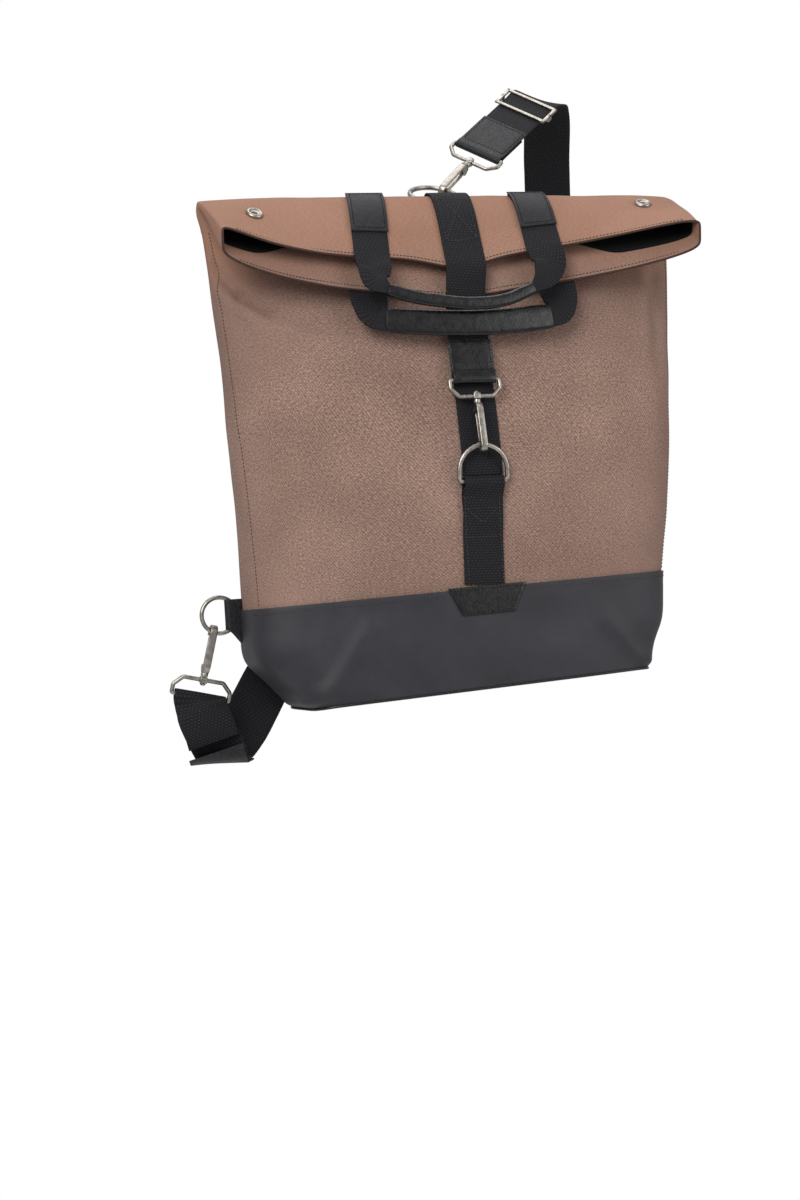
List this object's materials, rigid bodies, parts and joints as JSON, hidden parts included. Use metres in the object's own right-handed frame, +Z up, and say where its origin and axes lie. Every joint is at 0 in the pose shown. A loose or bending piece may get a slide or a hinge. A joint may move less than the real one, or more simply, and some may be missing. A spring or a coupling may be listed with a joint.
{
  "type": "convertible backpack",
  "caption": "Tapered canvas bag on a coated base, its mouth folded forward under a hooked closing strap, with carrying handles and one wide hook-on shoulder strap.",
  "frame": {"origin": "the underside of the shoulder strap's highest point, where it rests on the wearer's shoulder", "axes": "+Z up as the bag hangs when worn, +Y from the bag towards the wearer, +X to the right as seen from behind the wearer"},
  "size_m": [0.528, 0.3186, 0.6508],
  "materials": {
    "canvas": "heathered brown twill, matte",
    "coated": "smooth coated cloth, low sheen",
    "lining": "plain woven, matte black",
    "webbing": "twill-woven webbing, matte black",
    "leather": "pebbled, semi-gloss black",
    "grey_leather": "fine-grained dark grey, satin",
    "nickel": "brushed antique nickel, worn bright at the edges"
  },
  "bodies": {
    "bag": {"canvas_body": "canvas", "base_panel": "coated", "mouth_lining": "lining", "closure_webbing": "webbing", "under_webbing": "webbing", "ring_webbing": "webbing", "outer_handle_webbing": "webbing", "inner_handle_webbing": "webbing", "top_ring_loop": "webbing", "shoulder_strap": "webbing", "closure_leather": "leather", "outer_grip": "leather", "inner_grip": "leather", "label_patch": "leather", "handle_patch_left": "grey_leather", "handle_patch_right": "grey_leather", "side_tab": "grey_leather", "strap_leather": "grey_leather", "low_keeper": "grey_leather", "front_d_ring": "nickel", "front_bracket": "nickel", "snap_left": "nickel", "snap_right": "nickel", "top_ring": "nickel", "low_ring": "nickel", "top_bracket": "nickel", "low_bracket": "nickel", "slider": "nickel"},
    "front_hook": {"front_hook": "nickel"},
    "front_gate": {"front_gate": "nickel"},
    "top_hook": {"top_hook": "nickel"},
    "top_gate": {"top_gate": "nickel"},
    "low_hook": {"low_hook": "nickel"},
    "low_gate": {"low_gate": "nickel"}
  },
  "joints": [
    {"name": "front_hook_swivel", "type": "hinge", "parent": "bag", "child": "front_hook", "pos_m": [-0.1585, -0.19783, -0.31175], "axis": [0, 0.208, 0.9781], "range_deg": [-10, 10]},
    {"name": "front_hook_gate", "type": "hinge", "parent": "front_hook", "child": "front_gate", "pos_m": [-0.1585, -0.19591, -0.32821], "axis": [-1, 0, 0], "range_deg": [0, 15], "stiffness_Nm_per_rad": 0.05, "springref_deg": -11.46},
    {"name": "top_hook_swivel", "type": "hinge", "parent": "bag", "child": "top_hook", "pos_m": [-0.1015, -0.056, -0.0691], "axis": [0.7117, 0.2778, 0.6452], "range_deg": [-10, 10]},
    {"name": "top_hook_gate", "type": "hinge", "parent": "top_hook", "child": "top_gate", "pos_m": [-0.11148, -0.05623, -0.08233], "axis": [-0.6651, 0.5622, 0.4916], "range_deg": [0, 15], "stiffness_Nm_per_rad": 0.05, "springref_deg": -11.46},
    {"name": "low_hook_swivel", "type": "hinge", "parent": "bag", "child": "low_hook", "pos_m": [-0.4105, -0.112, -0.5559], "axis": [-0.2363, 0.1115, -0.9653], "range_deg": [-10, 10]},
    {"name": "low_hook_gate", "type": "hinge", "parent": "low_hook", "child": "low_gate", "pos_m": [-0.40669, -0.10848, -0.54016], "axis": [0.9715, 0.0079, -0.2369], "range_deg": [0, 15], "stiffness_Nm_per_rad": 0.05, "springref_deg": -11.46}
  ]
}
